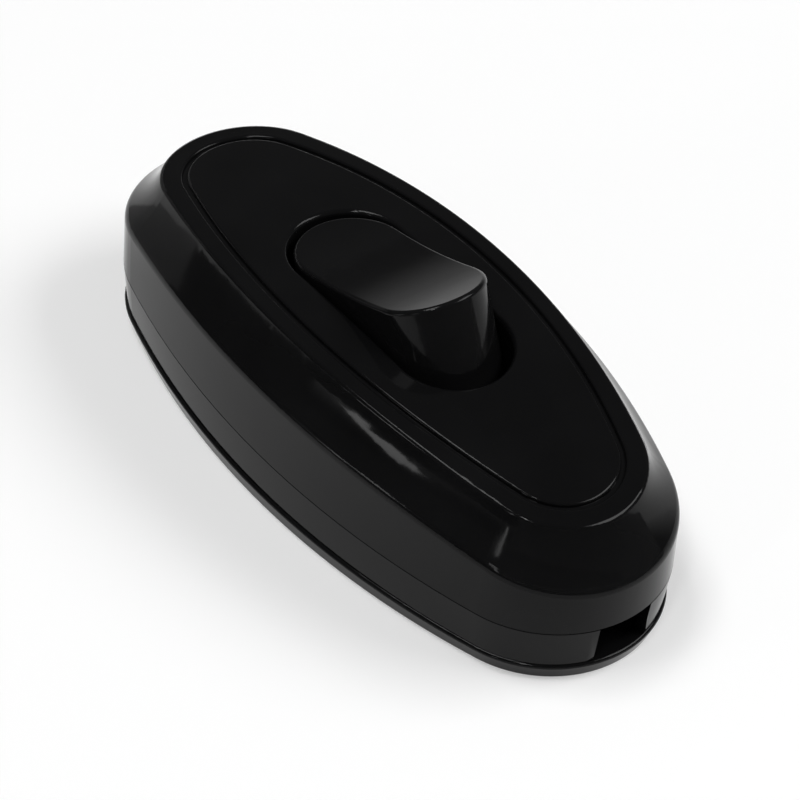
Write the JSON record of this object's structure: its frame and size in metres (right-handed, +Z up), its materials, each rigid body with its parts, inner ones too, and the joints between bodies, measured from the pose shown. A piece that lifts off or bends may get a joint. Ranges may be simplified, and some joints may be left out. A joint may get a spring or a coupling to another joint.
{
  "type": "pendant switch",
  "caption": "Oval in-line cord switch with a crowned black housing, a dished rocker and a rectangular cord inlet at each end.",
  "frame": {"origin": "middle of the flat base, under the rocker's pivot", "axes": "+X along the switch towards the end whose side of the rocker is raised, +Y across it, +Z up through the rocker"},
  "size_m": [0.0802, 0.0342, 0.0291],
  "materials": {
    "housing_plastic": "glossy moulded",
    "rocker_plastic": "glossy moulded",
    "clamp_plastic": "satin moulded",
    "plunger_plastic": "satin moulded",
    "spring_steel": "drawn wire",
    "contact_brass": "stamped",
    "contact_silver": "satin silver",
    "screw_steel": "zinc plated"
  },
  "bodies": {
    "housing": {"base_tray": "housing_plastic", "top_cover": "housing_plastic", "fixed_rivet": "contact_silver", "line_in_terminal": "contact_brass", "line_out_terminal": "contact_brass", "neutral_connector": "contact_brass", "line_in_screw": "screw_steel", "line_out_screw": "screw_steel", "neutral_screw_right": "screw_steel", "neutral_screw_left": "screw_steel", "cord_clamp_right": "clamp_plastic", "cord_clamp_left": "clamp_plastic", "clamp_screw_right_front": "screw_steel", "clamp_screw_right_back": "screw_steel", "clamp_screw_left_front": "screw_steel", "clamp_screw_left_back": "screw_steel", "housing_screw_right": "screw_steel", "housing_screw_left": "screw_steel"},
    "rocker": {"rocker_button": "rocker_plastic", "plunger_spring": "spring_steel"},
    "plunger": {"plunger": "plunger_plastic"},
    "see_saw": {"see_saw_contact": "contact_brass", "moving_rivet": "contact_silver"}
  },
  "joints": [
    {"name": "rocker_tilt", "type": "hinge", "parent": "housing", "child": "rocker", "pos_m": [0, 0, 0.018], "axis": [0, 1, 0], "range_deg": [0, 35]},
    {"name": "see_saw_tilt", "type": "hinge", "parent": "housing", "child": "see_saw", "pos_m": [0, 0, 0.0083], "axis": [0, 1, 0], "range_deg": [-12, 0]},
    {"name": "plunger_slide", "type": "slide", "parent": "rocker", "child": "plunger", "axis": [-0.3007, 0, 0.9537], "range_m": [0, 0.0009], "stiffness_N_per_m": 400, "springref_m": -0.002, "deforming": ["plunger_spring"]}
  ],
  "couplings": [
    {"joint": "see_saw_tilt", "follows": "rocker_tilt", "ratio": -0.34286}
  ]
}
